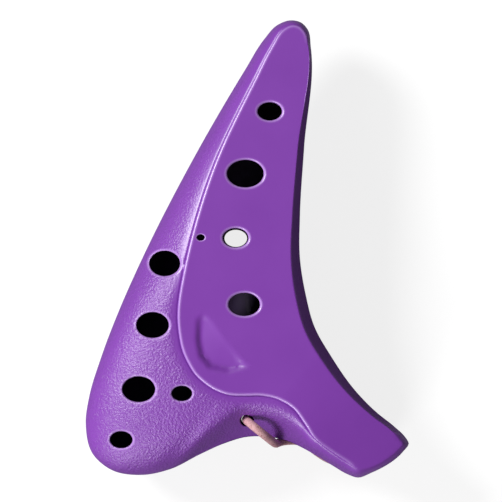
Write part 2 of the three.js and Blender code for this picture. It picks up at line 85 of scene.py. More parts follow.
mouth_axis = (NECK - MOUTH_END) / np.linalg.norm(NECK - MOUTH_END)
mouth_side = np.array((mouth_axis[1], -mouth_axis[0]))
hank_turn = math.atan2(mouth_axis[1], mouth_axis[0]) - math.radians(6)
hank_axis = np.array((math.cos(hank_turn), math.sin(hank_turn)))
hank_side = np.array((hank_axis[1], -hank_axis[0]))
hank_middle = HANK_START + hank_axis * HANK_STRAIGHT / 2


def smooth_step(value, low=0.0, high=1.0):
    share = np.clip((value - low) / (high - low), 0, 1)
    return share * share * (3 - 2 * share)


def on_hank(u, v, height):
    """A place given along the hank, across it and above the table."""
    return (*(hank_middle + hank_axis * u + hank_side * v), height)


def hank_point(turn, column, layer):
    """A place on a turn of the hank: turn counts from the middle of its near side."""
    straight, arc = HANK_STRAIGHT, math.pi * column
    way = (turn % 1.0) * 2 * (straight + arc)
    if way < straight / 2:
        u, v = -way, -column
    elif way < straight / 2 + arc:
        bend = (way - straight / 2) / column
        u, v = -straight / 2 - column * math.sin(bend), -column * math.cos(bend)
    elif way < 1.5 * straight + arc:
        u, v = way - straight - arc, column
    elif way < 1.5 * straight + 2 * arc:
        bend = (way - 1.5 * straight - arc) / column
        u, v = straight / 2 + column * math.sin(bend), column * math.cos(bend)
    else:
        u, v = 2 * straight + 2 * arc - way, -column
    waist = math.exp(-(u / WAIST_LENGTH) ** 2)
    v -= math.copysign(WAIST_PINCH, v) * waist * min(1.0, abs(v) / 3.5)
    return on_hank(u, v, CORD / 2 + CORD * layer + TIE_LIFT * math.exp(-(u / TIE_LIFT_LENGTH) ** 2))


def hank_turns():
    """All the turns from the bottom layer up, running in and out between the two columns."""
    points, last = [], len(HANK_STOPS) - 1
    for number, (column, layer) in enumerate(HANK_STOPS):
        following = HANK_STOPS[min(number + 1, last)]
        first = 8 if number == 0 else 0
        for sample in range(first, HANK_STEPS):
            turn = sample / HANK_STEPS
            move = float(smooth_step(turn, 0.84, 0.99))
            radius = HANK_COLUMNS[column] * (1 - move) + HANK_COLUMNS[following[0]] * move
            points.append(hank_point(turn, radius, layer * (1 - move) + following[1] * move))
            if number == last and turn > 0.86:
                return points
    return points


def rounded_route(points, rounds, step):
    """The points as one smooth, evenly spaced line."""
    line = np.array(points, float)
    for _ in range(rounds):
        cut = np.empty((2 * len(line) - 2, 3))
        cut[0::2] = 0.75 * line[:-1] + 0.25 * line[1:]
        cut[1::2] = 0.25 * line[:-1] + 0.75 * line[1:]
        line = np.vstack((line[:1], cut, line[-1:]))
    along = np.concatenate(([0], np.cumsum(np.linalg.norm(np.diff(line, axis=0), axis=1))))
    even = np.linspace(0, along[-1], int(along[-1] / step) + 1)
    return np.stack([np.interp(even, along, line[:, axis]) for axis in range(3)], axis=1)


entry = [on_hank(-8.6, -11.2, 3.4), on_hank(-12.6, -10.3, 1.5), on_hank(-15.6, -8.4, 1.2)]
leave = [on_hank(9.0, -7.6, 8.4), on_hank(5.6, -9.2, 8.5)]
turns = hank_turns()
cord_route = rounded_route(
    FRONT_RUN + entry + turns[::2] + leave + BACK_RUN[1:], rounds=3, step=0.9)


class Wire:
    """A socket of a material's nodes that can be used in sums."""

    def __init__(self, tree, socket=None):
        self.tree = tree
        self.socket = socket

    def node(self, kind, settings=None, sockets=None, output=0):
        made = self.tree.nodes.new(kind)
        for name, value in (settings or {}).items():
            if name == "stops":
                ramp = made.color_ramp.elements
                for place, colour in value[2:]:
                    ramp.new(place)
                for element, (place, colour) in zip(ramp, value):
                    element.position = place
                    element.color = colour
            else:
                setattr(made, name, value)
        for name, value in (sockets or {}).items():
            if isinstance(value, Wire):
                self.tree.links.new(value.socket, made.inputs[name])
            else:
                made.inputs[name].default_value = value
        return Wire(self.tree, made.outputs[output])

    def maths(self, operation, first, second):
        return self.node("ShaderNodeMath", {"operation": operation}, {0: first, 1: second})

    def __add__(self, other):
        return self.maths("ADD", self, other)

    def __radd__(self, other):
        return self.maths("ADD", other, self)

    def __sub__(self, other):
        return self.maths("SUBTRACT", self, other)

    def __rsub__(self, other):
        return self.maths("SUBTRACT", other, self)

    def __mul__(self, other):
        return self.maths("MULTIPLY", self, other)

    def __rmul__(self, other):
        return self.maths("MULTIPLY", other, self)


def finish_named(name):
    """A new material, its empty wire and its surface shader."""
    material = bpy.data.materials.new(name)
    material.use_nodes = True
    tree = material.node_tree
    shader = tree.nodes["Principled BSDF"]
    return material, Wire(tree), shader


def mixed(wire, share, first, second):
    """A colour between two colours."""
    return wire.node("ShaderNodeMix", {"data_type": "RGBA"}, {0: share, 6: first, 7: second}, output=2)


def join(shader, **links):
    for name, wire in links.items():
        wire.tree.links.new(wire.socket, shader.inputs[name.replace("_", " ")])


def leather():
    material, wire, shader = finish_named("tan_leather")
    place = wire.node("ShaderNodeTexCoord", output="Object")
    mottle = wire.node("ShaderNodeTexNoise", None, {"Vector": place, "Scale": 700.0, "Detail": 3.0})
    fleck = wire.node("ShaderNodeTexNoise", None, {"Vector": place, "Scale": 2400.0, "Detail": 2.0})
    spots = wire.node("ShaderNodeValToRGB", {"stops": [(0.56, (0, 0, 0, 1)), (0.68, (1, 1, 1, 1))]},
                      {0: fleck})
    pale = mixed(wire, mottle, (0.36, 0.15, 0.18, 1), (0.66, 0.40, 0.42, 1))
    colour = mixed(wire, spots * 0.75, pale, (0.20, 0.07, 0.06, 1))
    grain = wire.node("ShaderNodeBump", None, {
        "Strength": 0.5, "Distance": 0.0002, "Height": fleck + mottle})
    join(shader, Base_Color=colour, Roughness=0.5 + mottle * 0.25, Normal=grain)
    return material


cord_leather = leather()


def curve_piece(name, points, diameter, material):
    """A round cord along a line of points in millimetres."""
    data = bpy.data.curves.new(name, "CURVE")
    data.dimensions = "3D"
    data.bevel_depth = diameter / 2 * MM
    data.bevel_resolution = 4
    data.use_fill_caps = True
    spline = data.splines.new("POLY")
    spline.points.add(len(points) - 1)
    spline.points.foreach_set("co", np.hstack((points * MM, np.ones((len(points), 1)))).ravel())
    spline.use_smooth = True
    data.materials.append(material)
    made = bpy.data.objects.new(name, data)
    bpy.context.collection.objects.link(made)
    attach(made, "root")
    return made


neck_cord = curve_piece("neck_cord", cord_route, CORD, cord_leather)
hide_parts("neck_cord_front", "neck_cord_back", "neck_cord_hank")

# ---- Cord knot ----------------------------------------------------------------------------------
# The two ends of the cord are joined by a barrel knot: three turns of one end round the other strand.
# The turns are the same leather, drawn tight, with the end tucked under the last turn.
KNOT_TURNS = 3
KNOT_RADIUS = 2.05
KNOT_CORD = 1.9

knot_from, knot_to = np.array(BACK_RUN[KNOT_PLACE - 1]), np.array(BACK_RUN[KNOT_PLACE + 1])
knot_axis = (knot_to - knot_from) / np.linalg.norm(knot_to - knot_from)
knot_out = np.cross(knot_axis, (0, 0, 1.0))
knot_out /= np.linalg.norm(knot_out)
knot_up = np.cross(knot_out, knot_axis)
knot_line = []
for angle in np.linspace(0, 2 * math.pi * KNOT_TURNS, 24 * KNOT_TURNS + 1):
    along = (angle / (2 * math.pi) - KNOT_TURNS / 2) * KNOT_CORD * 0.92
    reach = KNOT_RADIUS - 0.35 * (abs(along) / 3) ** 3
    knot_line.append(np.array(BACK_RUN[KNOT_PLACE]) + knot_axis * along
                     + reach * (knot_out * math.cos(angle) + knot_up * math.sin(angle)))
cord_knot = curve_piece("cord_knot_turns", np.array(knot_line), KNOT_CORD, cord_leather)
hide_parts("cord_knot")

# ---- Cord tie -----------------------------------------------------------------------------------
# A soft black rubber band, 3 mm wide, drawn once round the folded cord and holding its waist together.
# It is moulded as a flat ring with rounded edges.
TIE_HALF_WIDTH = 1.6
TIE_OPENING = (4.9, 1.0, 10.8)             # half width, lowest and highest point of the opening
TIE_THICKNESS = 1.0
TIE_CORNER = 1.1                           # radius inside the band's corners


def tie_rubber():
    material, wire, shader = finish_named("black_rubber")
    place = wire.node("ShaderNodeTexCoord", output="Object")
    dust = wire.node("ShaderNodeTexNoise", None, {"Vector": place, "Scale": 900.0, "Detail": 4.0})
    colour = mixed(wire, dust, (0.012, 0.011, 0.013, 1), (0.045, 0.042, 0.046, 1))
    skin = wire.node("ShaderNodeBump", None, {"Strength": 0.3, "Distance": 0.0001, "Height": dust})
    join(shader, Base_Color=colour, Roughness=0.55 + dust * 0.3, Normal=skin)
    return material


def band():
    """The flat ring as a rounded section carried round a rounded rectangle."""
    half, low, high = TIE_OPENING
    centre_line = []
    for turn, (u, z) in enumerate([(half, high), (-half, high), (-half, low), (half, low)]):
        inner = (u - math.copysign(TIE_CORNER, u), z - math.copysign(TIE_CORNER, z - (low + high) / 2))
        for step in range(7):
            angle = math.pi / 2 * (turn + step / 6)
            centre_line.append((inner, (math.cos(angle), math.sin(angle))))
    section = []
    for step in range(16):
        angle = 2 * math.pi * step / 16
        across = TIE_HALF_WIDTH * math.copysign(abs(math.cos(angle)) ** 0.4, math.cos(angle))
        out = TIE_THICKNESS / 2 * math.copysign(abs(math.sin(angle)) ** 0.6, math.sin(angle))
        section.append((across, out + TIE_THICKNESS / 2))
    points, faces = [], []
    for (v, z), (dv, dz) in centre_line:
        for across, out in section:
            place = on_hank(across, v + dv * (TIE_CORNER + out), z + dz * (TIE_CORNER + out))
            points.append([value * MM for value in place])
    rings, sides = len(centre_line), len(section)
    for ring in range(rings):
        for side in range(sides):
            a, b = ring * sides + side, ring * sides + (side + 1) % sides
            c, d = ((ring + 1) % rings) * sides + (side + 1) % sides, ((ring + 1) % rings) * sides + side
            faces.append((a, b, c, d))
    return points, faces


def mesh_piece(name, points, faces, materials):
    """A piece made of points in metres, with its faces turned outwards."""
    mesh = bpy.data.meshes.new(name)
    mesh.from_pydata(points, [], faces)
    work = bmesh.new()
    work.from_mesh(mesh)
    bmesh.ops.recalc_face_normals(work, faces=work.faces)
    work.to_mesh(mesh)
    work.free()
    mesh.shade_smooth()
    mesh.set_sharp_from_angle(angle=math.radians(40))
    for material in materials:
        mesh.materials.append(material)
    made = bpy.data.objects.new(name, mesh)
    bpy.context.collection.objects.link(made)
    return made


hank_band = mesh_piece("hank_band", *band(), [tie_rubber()])
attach(hank_band, "root")
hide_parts("cord_tie")

# ---- Front shell --------------------------------------------------------------------------------
# The upper half of the body, injection moulded in purple ABS with walls 2.4 mm thick. A smooth plate
# stands half a millimetre above the finely grained flank, and eight finger holes and two small
# sub-holes run through it, each with a rounded rim.
PARTING = 20.0                             # height of the plane where the two shells meet
ABOVE, BELOW = 60.0, -40.0                 # heights well clear of the body
FACE_TOP = 34.5
TAIL_DROP, MOUTH_DROP = 5.5, 5.0           # how much lower the face is at its two ends
FACE_BEND, BACK_BEND, TAIL_REACH = -10.0, -12.0, 61.0
TAIL_RISE, NECK_RISE = 14.0, 13.8          # how much higher the back is at its two ends
NECK_SLOPE = (6.0, 19.0)
REST_CENTRE, REST_DISH, REST_ROUND = np.array((-14.0, -20.0)), 0.3, 150.0
SHELL_WALL = 2.4
PLATE_STEP = 0.5                           # height of the plate above the flank
PLATE_ROUND = 0.55                         # radius of the plate's rounded edge
RIM_STEPS = (0, 0.06, 0.18, 0.38, 0.66, 1.0, 1.4)    # lines of points round a hole, in rim radii
FRONT_PITS = 22.0                          # height inside the chamber that the finger holes reach
RIM_CLEARANCE = 1.9                        # how near other points may come, in rim radii
SEAM_INSET, SEAM_RISE, SEAM_LIP = 0.18, 0.3, 0.12    # the small bevel where the halves meet
GROOVE_DEPTH, GROOVE_WIDTH = 0.22, 0.28
TAIL_TIP, BULB_END = np.array((12.0, 55.0)), np.array((-25.0, -45.0))
TUNNEL = np.array((-0.3, -45.5))
TUNNEL_MOUTH = (-0.1, -45.7, 3.7, 3.1, 0.5)    # x, y, width, height, rim radius
TROUGH_END = np.array((5.6, -50.6))        # the cord's trough runs from its tunnel to the neck's edge
TROUGH_DEPTH, TROUGH_REACH = 0.8, 5.0
SPINE = np.array(((11.5, 52.0), (-2.0, 0.0), (2.0, -27.0), (33.0, -54.0)))

# How the side curves from the parting line to the face: how far in its shoulder stands, how steep it
# still is at the face, how sharp the shoulder is, how far it tucks under the back, how much of a
# groove there is at the plate's edge, and where along that curve the face's fine triangles start.
TIP = (0.25, 0.15, 1.2, 0.5, 0.6, 0.7)
FLANK = (0.05, 0.27, 0.8, 0.5, 1.0, 0.22)
BULB = (0.02, 0.05, 0.8, 0.38, 1.0, 0.22)
BROW = (0.35, 0.04, 1.9, 0.34, 1.0, 0.22)
SCOOP = (0.6, 0.05, 2.4, 0.3, 1.0, 0.05)
LIP = (0.2, 0.1, 0.9, 0.4, 0.35, 0.6)
MOUTH = (0.2, 0.1, 1.5, 0.4, 0.0, 0.7)
WALL = (0.8, 0.02, 5.0, 0.35, 0.0, 0.9)
# Stations anticlockwise from the tip of the tail: outline, plate edge opposite it, kind of side.
STATIONS = [
    (11.9, 61.2, 12.2, 59.8, TIP), (8.0, 59.9, 9.2, 58.3, TIP), (4.5, 56.1, 6.1, 53.5, FLANK),
    (-0.5, 48.1, 2.0, 45.4, FLANK), (-14.4, 24.2, -8.8, 22.4, FLANK), (-29.3, -5.1, -16.9, -5.6, FLANK),
    (-34.0, -15.7, -18.4, -14.5, BULB), (-39.1, -29.0, -18.2, -22.6, BULB), (-42.3, -39.6, -16.9, -28.0, BULB),
    (-43.2, -46.5, -15.2, -31.4, BULB), (-41.3, -54.8, -13.4, -33.9, BULB), (-36.2, -59.1, -11.4, -35.7, BULB),
    (-28.5, -60.4, -9.2, -37.2, BULB), (-20.5, -58.8, -6.8, -38.3, BULB), (-12.5, -54.8, -3.9, -39.0, BROW),
    (-6.0, -51.9, -0.2, -39.1, SCOOP), (0.0, -50.2, 4.2, -39.1, SCOOP), (5.5, -50.2, 8.6, -40.2, SCOOP),
    (10.5, -51.2, 12.6, -42.8, SCOOP), (14.5, -53.0, 15.4, -46.7, SCOOP), (18.6, -55.3, 17.9, -50.3, LIP),
    (23.0, -58.0, 22.6, -54.0, LIP), (26.8, -60.2, 26.6, -56.6, LIP), (29.6, -61.1, 29.2, -58.0, MOUTH),
    (33.0, -59.9, 31.8, -58.2, MOUTH), (41.8, -54.0, 40.2, -53.2, MOUTH), (43.2, -52.0, 41.2, -51.9, MOUTH),
    (42.2, -50.2, 40.2, -50.6, MOUTH), (39.4, -47.5, 38.2, -48.4, WALL), (34.3, -43.4, 33.2, -44.6, WALL),
    (28.7, -37.6, 27.1, -39.1, WALL), (22.4, -28.6, 19.9, -30.2, WALL), (18.0, -20.8, 15.1, -21.9, WALL),
    (15.6, -12.0, 12.5, -12.4, WALL), (14.1, -2.5, 11.4, -2.5, WALL), (14.1, 9.0, 11.8, 9.0, WALL),
    (15.2, 27.0, 13.3, 27.0, WALL), (17.0, 54.0, 16.2, 54.0, WALL), (16.2, 58.7, 15.4, 57.8, TIP),
    (14.4, 60.6, 14.0, 59.3, TIP),
]
FINGER_HOLES = [                           # x, y, width, height, rim radius
    (6.0, 36.7, 6.5, 4.9, 0.65), (-0.5, 20.1, 9.8, 7.4, 0.65), (-3.1, 3.0, 6.8, 5.2, 0.65),
    (-0.8, -14.7, 8.4, 6.2, 0.65), (-22.0, -3.8, 8.3, 6.8, 0.65), (-25.2, -20.2, 8.7, 6.9, 0.65),
    (-28.9, -37.3, 8.8, 6.9, 0.65), (-33.6, -50.8, 6.1, 4.6, 0.6), (-12.4, 3.1, 2.2, 1.7, 0.3),
    (-17.4, -38.4, 5.5, 4.1, 0.55),
]
RECESS = np.array((                        # a shallow drop-shaped recess in the plate, left plain
    (-13.6, -18.4), (-13.8, -24.4), (-12.9, -28.8), (-10.2, -32.0), (-5.0, -33.0),
    (0.6, -31.4), (-2.4, -27.6), (-6.0, -23.4), (-9.4, -18.6), (-11.8, -16.6)))
RECESS_DEPTH, RECESS_SLOPE = 1.2, 1.4
RECESS_RIGHT = 5                           # the recess is deepest at its left and fades to this corner


def tail_share(y, bend):
    return np.clip((y - bend) / (TAIL_REACH - bend), 0, 1)


def face_height(p):
    mouth = np.clip((NECK - p) @ mouth_axis / np.linalg.norm(NECK - MOUTH_END), 0, 1.2)
    return FACE_TOP - TAIL_DROP * tail_share(p[:, 1], FACE_BEND) ** 1.4 - MOUTH_DROP * mouth ** 1.5


def back_height(p):
    axis = (TAIL_TIP - BULB_END) / np.linalg.norm(TAIL_TIP - BULB_END)
    aside = (p[:, 0] - BULB_END[0]) * axis[1] - (p[:, 1] - BULB_END[1]) * axis[0]
    rise = TAIL_RISE * tail_share(p[:, 1], BACK_BEND) ** 1.1 + NECK_RISE * smooth_step(aside, *NECK_SLOPE)
    dish = np.minimum(np.sum((p - REST_CENTRE) ** 2, axis=1) / (2 * REST_ROUND), 3 * REST_DISH) - REST_DISH
    return np.maximum(0, np.minimum(rise, TAIL_RISE) + dish)


def steepness(p):
    along = [back_height(p + step) - back_height(p - step) for step in ((0.5, 0), (0, 0.5))]
    return np.sqrt(1 + along[0] ** 2 + along[1] ** 2)


def body_sections(spacing):
    """Outline, plate edge and side numbers at even steps round the body."""
    rows = np.array([(*station[:4], *station[4]) for station in STATIONS])
    before, after = np.roll(rows, 1, axis=0), np.roll(rows, -1, axis=0)
    span = np.linalg.norm(after[:, :2] - rows[:, :2], axis=1)[:, None]
    span_before = np.roll(span, 1, axis=0)
    slope = ((rows - before) / span_before * span + (after - rows) / span * span_before) / (span + span_before)
    slope_after = np.roll(slope, -1, axis=0)
    made = []
    for index in range(len(rows)):
        steps = max(2, round(float(span[index, 0]) / spacing))
        t = (np.arange(steps) / steps)[:, None]
        made.append(rows[index] * (1 + 2 * t) * (1 - t) ** 2 + after[index] * t * t * (3 - 2 * t)
                    + span[index] * (slope[index] * t * (1 - t) ** 2 - slope_after[index] * t * t * (1 - t)))
    table = np.vstack(made)
    table[:, 4] = np.clip(table[:, 4], 0, 0.8)
    table[:, 8] = np.clip(table[:, 8], 0, 1)
    table[:, 9] = np.clip(table[:, 9], 0.05, 0.9)
    return {"outline": table[:, :2], "edge": table[:, 2:4], "lean": table[:, 4], "rise": table[:, 5],
            "crisp": table[:, 6], "tuck": table[:, 7], "groove": table[:, 8], "start": table[:, 9]}


def nearest_on_spine(p):
    best, near = np.zeros_like(p), np.full(len(p), np.inf)
    for a, b in zip(SPINE, SPINE[1:]):
        t = np.clip((p - a) @ (b - a) / ((b - a) @ (b - a)), 0, 1)
        on = a + t[:, None] * (b - a)
        gap = np.linalg.norm(on - p, axis=1)
        closer = gap < near
        best[closer], near[closer] = on[closer], gap[closer]
    return best


def drawn_in(p, share):
    return p + (nearest_on_spine(p) - p) * np.reshape(share, (-1, 1))


def stepped_in(p, distance):
    return drawn_in(p, distance / np.linalg.norm(nearest_on_spine(p) - p, axis=1))


def conic(t, lean, top, weight):
    """A curve from (0, 0) to (1, 1) that bulges towards the corner (lean, top)."""
    middle = 2 * t * (1 - t) * weight
    whole = (1 - t) ** 2 + middle + t * t
    return (middle * lean + t * t) / whole, (middle * top + t * t) / whole


def level(p, height):
    return np.column_stack((p, np.broadcast_to(height, len(p))))


def side_ring(st, t, wall=0.0):
    """The side at a share t of its curve from the parting line up to the plate's edge."""
    rim, edge = stepped_in(st["outline"], wall), stepped_in(st["edge"], wall)
    foot = face_height(edge) - wall - PLATE_STEP * st["groove"]
    along, up = conic(t, st["lean"], 1 - st["rise"] * (1 - st["lean"]), st["crisp"])
    return level(rim + (edge - rim) * np.reshape(along, (-1, 1)), PARTING + (foot - PARTING) * up)


def under_ring(st, t, wall=0.0):
    """The side below the parting line, at a share t of its curve under the back."""
    rim = stepped_in(st["outline"], wall)
    under = drawn_in(rim, st["tuck"])
    low = back_height(under) + wall * steepness(under)
    along, up = conic(t, 0, 1, 0.75)
    return level(rim + (under - rim) * np.reshape(along, (-1, 1)), PARTING + (low - PARTING) * up)


def back_ring(st, share, wall=0.0):
    at = drawn_in(drawn_in(stepped_in(st["outline"], wall), st["tuck"]), share)
    return level(at, back_height(at) + wall * steepness(at))


def ring_faces(rings, sides):
    """The faces between rings of points that lie one after another."""
    faces = []
    for k in range(rings - 1):
        for i in range(sides):
            a, b = k * sides + i, k * sides + (i + 1) % sides
            faces.append((a, b, b + sides, a + sides))
    return faces


def drop_tree(rings):
    """A search tree of lofted rings, for reading heights off them."""
    points = np.vstack(rings)
    return BVHTree.FromPolygons([Vector(p) for p in points], ring_faces(len(rings), len(rings[0])))


def read_heights(tree, p, from_height):
    """Heights of a search tree's surface, met from above or from below."""
    down = Vector((0, 0, -1 if from_height > 0 else 1))
    found = np.empty(len(p))
    for index, (x, y) in enumerate(p):
        hit = tree.ray_cast(Vector((x, y, from_height)), down)[0]
        if hit is None:
            hit = tree.find_nearest(Vector((x, y, PARTING)))[0]
        found[index] = hit.z
    return found


def inside_loop(p, loop):
    """True for the points inside a closed loop."""
    inside = np.zeros(len(p), bool)
    for a, b in zip(loop, np.roll(loop, -1, axis=0)):
        if a[1] == b[1]:
            continue
        crosses = (a[1] > p[:, 1]) != (b[1] > p[:, 1])
        inside ^= crosses & (p[:, 0] < (b[0] - a[0]) * (p[:, 1] - a[1]) / (b[1] - a[1]) + a[0])
    return inside


def loop_distance(p, loop):
    """Distance from each point to a closed loop, and the loop's nearest corner."""
    ends = np.roll(loop, -1, axis=0)
    distance, nearest = np.empty(len(p)), np.empty(len(p), int)
    for first in range(0, len(p), 2000):
        part = p[first:first + 2000, None, :]
        t = np.clip(np.sum((part - loop) * (ends - loop), axis=2) / np.sum((ends - loop) ** 2, axis=1), 0, 1)
        gap = np.linalg.norm(part - loop - t[:, :, None] * (ends - loop), axis=2)
        nearest[first:first + 2000] = np.argmin(gap, axis=1)
        distance[first:first + 2000] = np.min(gap, axis=1)
    return distance, nearest


def round_over(distance, radius):
    """How far a rounded edge has dropped at a distance in from the edge."""
    inner = np.clip(radius - distance, 0, radius)
    return radius - np.sqrt(radius ** 2 - inner ** 2)


fine = body_sections(0.7)
plate_loop = body_sections(1.2)["edge"]
flank_tree = drop_tree([side_ring(fine, t) for t in np.linspace(0, 1, 60)])


def trough(p):
    """The shallow trough that the cord lies in."""
    along = TROUGH_END - TUNNEL
    t = np.clip((p - TUNNEL) @ along / (along @ along), 0, 1)
    gap = np.linalg.norm(p - TUNNEL - t[:, None] * along, axis=1)
    return TROUGH_DEPTH * (1 - smooth_step(gap, 0.2, TROUGH_REACH)) * (1 - 0.8 * t)


def top_height(p):
    """Height of the front shell: plate, groove, flank, recess and the cord's trough."""
    gap, near = loop_distance(p, fine["edge"])
    on_plate = inside_loop(p, plate_loop) | (gap < 0.02)
    groove = fine["groove"][near]
    plate = face_height(p) - round_over(gap, PLATE_ROUND) * groove
    plate -= recess_depth(p)
    flank = np.full(len(p), PARTING)
    flank[~on_plate] = read_heights(flank_tree, p[~on_plate], ABOVE)
    flank -= GROOVE_DEPTH * groove * np.exp(-(gap / GROOVE_WIDTH) ** 2) + trough(p)
    return np.where(on_plate, plate, flank)


def line_distance(p, line):
    """Distance from each point to an open line."""
    legs = [(line[k], line[k + 1] - line[k]) for k in range(len(line) - 1)]
    shares = [np.clip(((p - start) @ leg) / (leg @ leg), 0, 1) for start, leg in legs]
    return np.min([np.linalg.norm(p - start - t[:, None] * leg, axis=1)
                   for t, (start, leg) in zip(shares, legs)], axis=0)


def recess_depth(p):
    """Depth of the recess: steep at its left edge, fading out towards its right edge."""
    gap = loop_distance(p, RECESS)[0]
    to_right = line_distance(p, np.vstack((RECESS[RECESS_RIGHT:], RECESS[:1])))
    to_left = line_distance(p, RECESS[:RECESS_RIGHT + 1])
    share = to_right / (to_right + to_left + 1e-9)
    return np.where(inside_loop(p, RECESS), RECESS_DEPTH * smooth_step(gap, 0, RECESS_SLOPE) * share, 0)


def ellipse(hole, grown, sides):
    angle = np.arange(sides) * 2 * math.pi / sides
    return np.column_stack((hole[0] + (hole[2] / 2 + grown) * np.cos(angle),
                            hole[1] + (hole[3] / 2 + grown) * np.sin(angle)))


def outside_holes(p, holes, grown):
    clear = np.ones(len(p), bool)
    for x, y, width, height, rim in holes:
        reach = rim * grown
        clear &= ((p[:, 0] - x) / (width / 2 + reach)) ** 2 + ((p[:, 1] - y) / (height / 2 + reach)) ** 2 > 1
    return clear


def lattice(loop, spacing, margin):
    """Evenly spaced points inside a loop, at least margin from it."""
    low, high = loop.min(axis=0), loop.max(axis=0)
    rows = np.arange(low[1], high[1], spacing * math.sqrt(3) / 2)
    columns = [np.arange(low[0] + (k % 2) * spacing / 2, high[0], spacing) for k in range(len(rows))]
    points = np.vstack([np.column_stack((xs, np.full(len(xs), y))) for xs, y in zip(columns, rows)])
    points = points[inside_loop(points, loop)]
    return points[loop_distance(points, loop)[0] > margin]


def thinned(extra, kept, spacing):
    """The extra points that are at least spacing from the kept ones."""
    far = np.ones(len(extra), bool)
    for first in range(0, len(extra), 1500):
        part = extra[first:first + 1500, None, :]
        far[first:first + 1500] = np.min(np.sum((part - kept) ** 2, axis=2), axis=1) > spacing ** 2
    return extra[far]


def pierced_sheet(boundary, height_at, holes, rows, spacing, up, pit_floor):
    """A sheet with rounded hole rims and the pits below them. Returns its points and faces; the
    boundary's points come first."""
    plan, edges, pits = [boundary], [], []
    count = len(boundary)
    edges += [(i, (i + 1) % count) for i in range(count)]
    drop = [np.zeros(count)]
    for hole in holes:
        sides = 64 if hole[2] > 5 else 40
        for step in RIM_STEPS:
            ring = ellipse(hole, step * hole[4], sides)
            drop.append(round_over(np.full(sides, step * hole[4]), hole[4]))
            if step == 0:
                pits.append((count, sides, hole))
            edges += [(count + i, count + (i + 1) % sides) for i in range(sides)]
            plan.append(ring)
            count += sides
    for row, closed in rows:
        clear = outside_holes(row, holes, RIM_CLEARANCE)
        index = np.cumsum(clear) - 1 + count
        for i in range(len(row) if closed else len(row) - 1):
            j = (i + 1) % len(row)
            if clear[i] and clear[j]:
                edges.append((int(index[i]), int(index[j])))
        plan.append(row[clear])
        drop.append(np.zeros(clear.sum()))
        count += int(clear.sum())
    free = lattice(boundary, spacing, 0.6 * spacing)
    free = free[outside_holes(free, holes, RIM_CLEARANCE)]
    free = thinned(free, np.vstack(plan), 0.62 * spacing)
    plan.append(free)
    drop.append(np.zeros(len(free)))
    plan, drop = np.vstack(plan), np.concatenate(drop)
    made, _, faces, sources, _, _ = delaunay_2d_cdt(
        [Vector(p) for p in plan], edges, [], 1, 1e-6)
    flat = np.array([(p.x, p.y) for p in made])
    source = np.array([one[0] if one else -1 for one in sources])
    height = height_at(flat) - up * np.where(source >= 0, drop[source], 0)
    points = np.column_stack((flat, height))
    order = {int(s): i for i, s in enumerate(source)}
    kept = [tuple(face) for face in faces]
    middles = flat[np.array(kept)].mean(axis=1)
    open_here = outside_holes(middles, [(x, y, w, h, 0) for x, y, w, h, _ in holes], 0)
    kept = [face if up > 0 else face[::-1] for face, open_one in zip(kept, open_here) if open_one]
    points = list(points)
    for first, sides, hole in pits:
        ring = [order[first + i] for i in range(sides)]
        top = np.array([points[i] for i in ring])
        centre = np.array(hole[:2])
        for down in (0.5, 1.2, 2.4, None):
            shrink = 1.0 if down is None else 1 - 0.004 * down
            base = centre + (top[:, :2] - centre) * (0.985 if down is None else shrink)
            height = np.full(sides, pit_floor) if down is None else top[:, 2] - up * down
            new = list(range(len(points), len(points) + sides))
            points += list(np.column_stack((base, height)))
            for i in range(sides):
                j = (i + 1) % sides
                quad = (ring[i], ring[j], new[j], new[i])
                kept.append(quad[::-1] if up > 0 else quad)
            ring = new
        points.append(np.array((*centre, pit_floor)))
        for i in range(sides):
            j = (i + 1) % sides
            tri = (ring[i], ring[j], len(points) - 1)
            kept.append(tri[::-1] if up > 0 else tri)
    return np.array(points), kept, [order[i] for i in range(len(boundary))]


def closed_body(name, sheet, boundary_order, rings):
    """Joins a sheet to the rings of the side below it and closes the last ring with a flat cap."""
    points, faces = sheet
    sides = len(rings[0])
    loops = [list(boundary_order)]
    for ring in rings:
        loops.append(list(range(len(points), len(points) + sides)))
        points = np.vstack((points, ring))
    for upper, lower in zip(loops, loops[1:]):
        for i in range(sides):
            j = (i + 1) % sides
            faces.append((upper[i], lower[i], lower[j], upper[j]))
    faces.append(tuple(loops[-1]))
    return mesh_piece(name, points * MM, faces, [])


def edge_rows(st, boundary):
    """Lines of points along the plate's edge, for its rounded corner and the groove beside it."""
    edge = st["edge"]
    normal = np.roll(edge, -1, axis=0) - np.roll(edge, 1, axis=0)
    normal = np.column_stack((normal[:, 1], -normal[:, 0])) / np.linalg.norm(normal, axis=1)[:, None]
    room = np.linalg.norm(boundary - edge, axis=1)
    outward = (boundary - edge) / room[:, None]
    rows = []
    for offset in (0.05, 0.16, 0.32, 0.55, 0.9):
        rows.append((edge + outward * np.minimum(offset, room * offset / 1.4)[:, None], True))
    creased = st["groove"] > 0.05
    first = int(np.argmax(~creased))
    turn = (np.arange(len(edge)) + first) % len(edge)
    keep = [index for index in turn if creased[index]]
    rows.append((edge - normal * 0.012, True))
    for offset in (0.1, 0.25, 0.42, 0.65, 1.0):
        rows.append(((edge - normal * offset)[keep], False))
    return rows


def boolean(target, tool, operation):
    """Cuts or joins one closed mesh with another and drops the tool."""
    change = target.modifiers.new("cut", "BOOLEAN")
    change.object, change.operation, change.solver = tool, operation, "MANIFOLD"
    evaluated = target.evaluated_get(bpy.context.evaluated_depsgraph_get())
    result = bpy.data.meshes.new_from_object(evaluated)
    target.modifiers.clear()
    old, target.data = target.data, result
    bpy.data.meshes.remove(old)
    bpy.data.objects.remove(tool)
    return target


